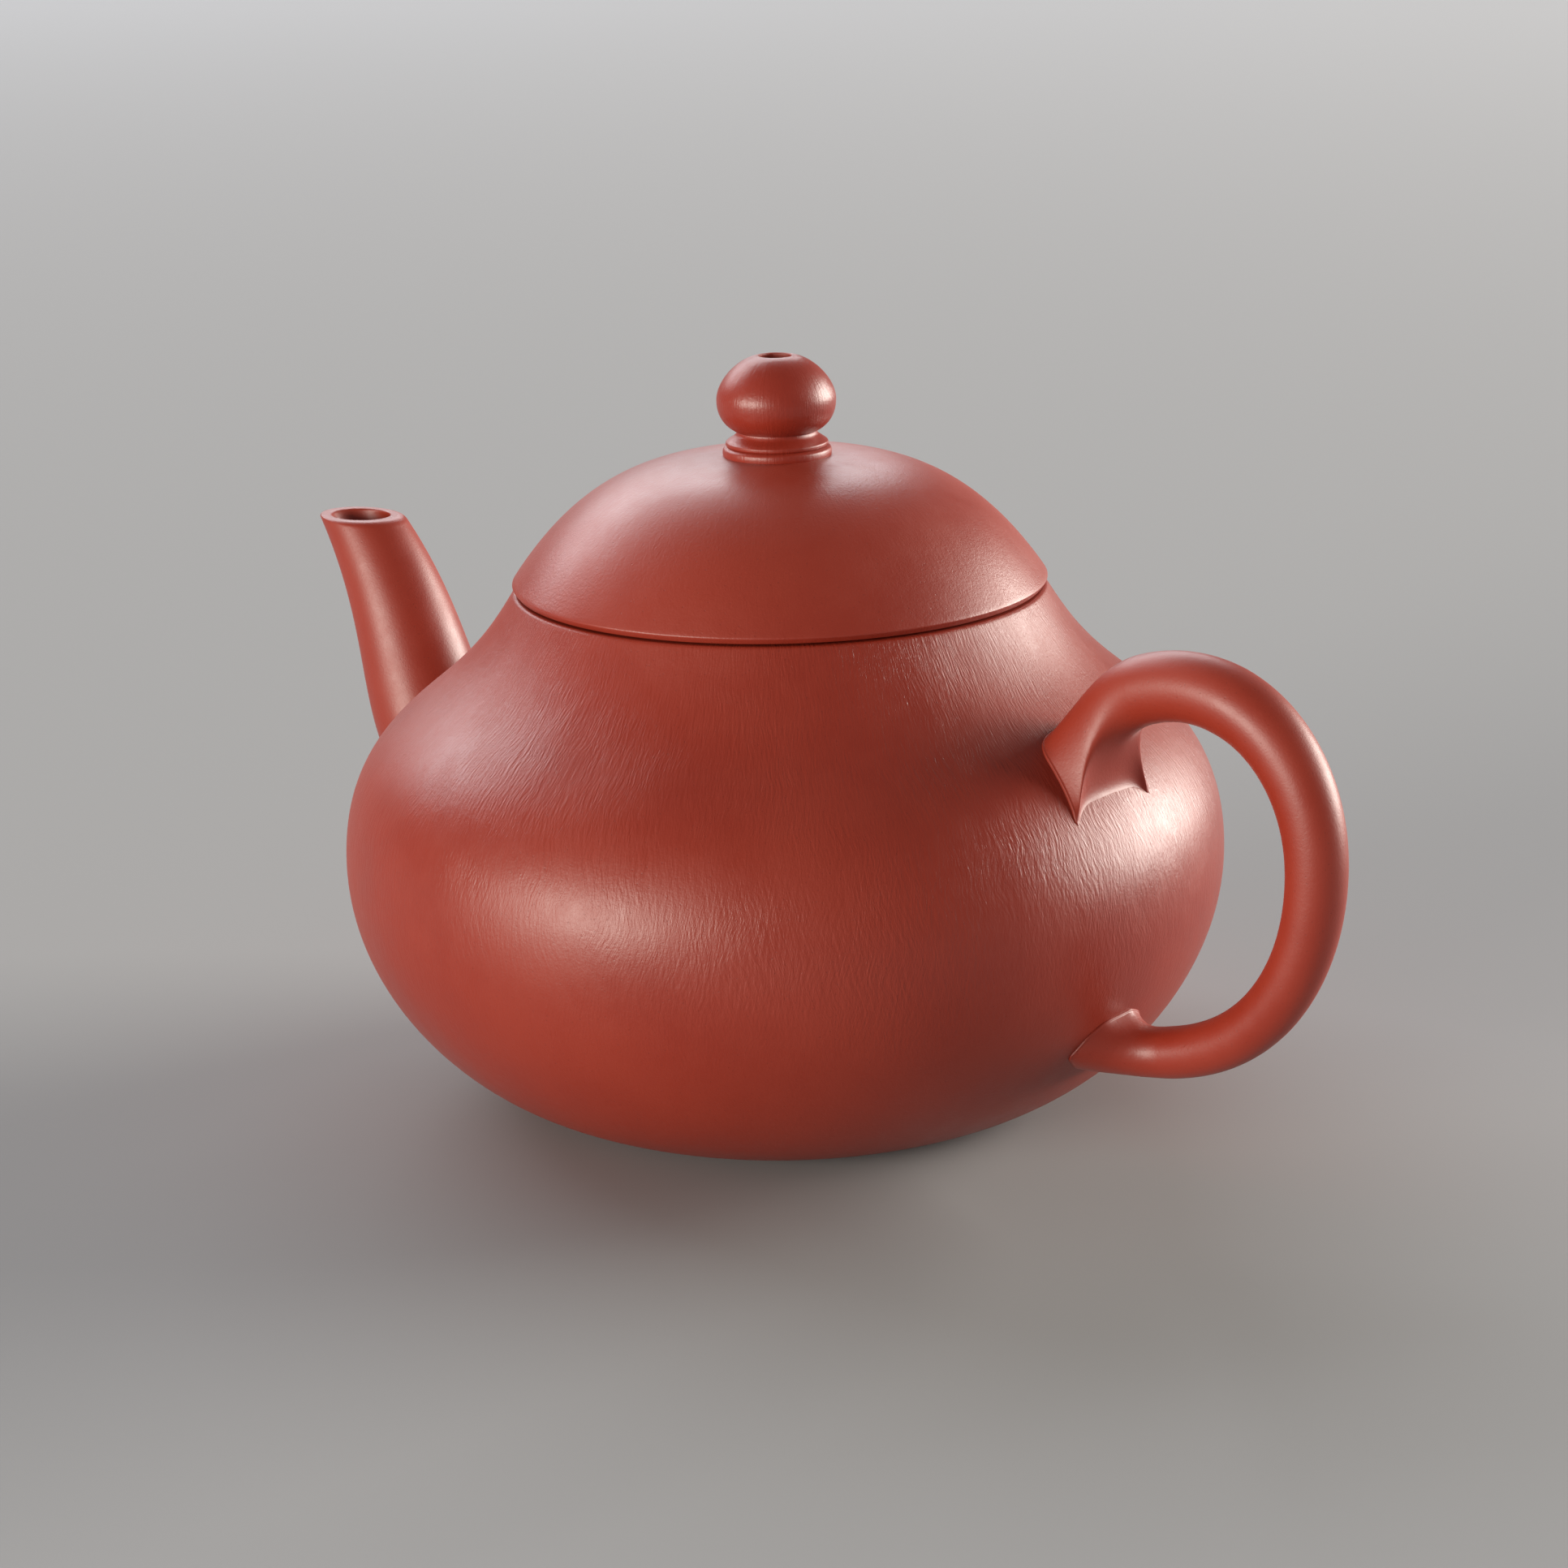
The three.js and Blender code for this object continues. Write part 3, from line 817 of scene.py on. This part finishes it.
for make, node, body, slot in PIECES:
    piece = make()
    piece.data.materials.clear()
    piece.data.materials.append(CLAYS[slot])
    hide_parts(node)
    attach(piece, body)


# ---- Studio ----


def floor():
    mesh = bpy.data.meshes.new("studio_floor")
    half = 12.0
    corners = [(-half, -half, 0), (half, -half, 0), (half, half, 0), (-half, half, 0)]
    mesh.from_pydata(corners, [], [(0, 1, 2, 3)])
    plane = bpy.data.objects.new("studio_floor", mesh)
    bpy.context.scene.collection.objects.link(plane)
    paint = bpy.data.materials.new("floor paint")
    paint.use_nodes = True
    shader = paint.node_tree.nodes["Principled BSDF"]
    shader.inputs["Base Color"].default_value = (0.36, 0.36, 0.365, 1)
    shader.inputs["Roughness"].default_value = 0.9
    shader.inputs["Specular IOR Level"].default_value = 0.0
    plane.data.materials.append(paint)


def softbox(name, azimuth, elevation, distance, size, power, colour=(1, 1, 1)):
    """A rectangular soft light aimed at the pot's middle. azimuth is from +X, in degrees, and size and
    distance are in metres."""
    lamp = bpy.data.lights.new(name, "AREA")
    lamp.shape = "RECTANGLE"
    lamp.size, lamp.size_y = size
    lamp.energy = power
    lamp.color = colour
    light = bpy.data.objects.new(name, lamp)
    a, e = math.radians(azimuth), math.radians(elevation)
    middle = Vector((0, 0, 0.03))
    way = Vector((math.cos(e) * math.cos(a), math.cos(e) * math.sin(a), math.sin(e)))
    light.location = middle + way * distance
    light.rotation_euler = way.to_track_quat("Z", "Y").to_euler()
    light.visible_camera = False
    bpy.context.scene.collection.objects.link(light)


def studio():
    floor()
    softbox("left_box", -101, 8, 2.6, (1.7, 0.68), 82, (1, 0.95, 0.85))
    softbox("right_box", 61, 12, 2.6, (1.8, 1.2), 130, (1, 0.95, 0.87))
    softbox("back_box", 153, 32, 3, (3.6, 1.3), 88, (0.96, 0.97, 1))
    world = bpy.data.worlds.new("studio")
    bpy.context.scene.world = world
    world.use_nodes = True
    background = world.node_tree.nodes["Background"]
    background.inputs["Color"].default_value = (0.84, 0.82, 0.8, 1)
    background.inputs["Strength"].default_value = 0.2
    bpy.context.scene.view_settings.view_transform = "Standard"


def camera():
    """A long lens 40 degrees round from the front towards the handle, with a slight roll."""
    azimuth = math.radians(40)
    pitch, roll = 0.27904, 0.02049
    distance, above_seat = 360.0, 82.04     # level from the axis, and up from the mouth
    lens = bpy.data.cameras.new("camera")
    lens.lens, lens.sensor_width = 83.68, 36
    lens.clip_start, lens.clip_end = 0.01, 100
    view = bpy.data.objects.new("camera", lens)
    bpy.context.scene.collection.objects.link(view)
    away = Vector((math.sin(azimuth), -math.cos(azimuth), 0))
    forward = -away * math.cos(pitch) - Vector((0, 0, 1)) * math.sin(pitch)
    right = forward.cross(Vector((0, 0, 1))).normalized()
    up = right.cross(forward)
    side = right * math.cos(roll) - up * math.sin(roll)
    top = right * math.sin(roll) + up * math.cos(roll)
    turn = Matrix((side, top, -forward)).transposed().to_4x4()
    place = away * distance + Vector((0, 0, SEAT_Z + above_seat))
    view.matrix_world = Matrix.Translation(place * MM) @ turn
    bpy.context.scene.camera = view


camera()
studio()
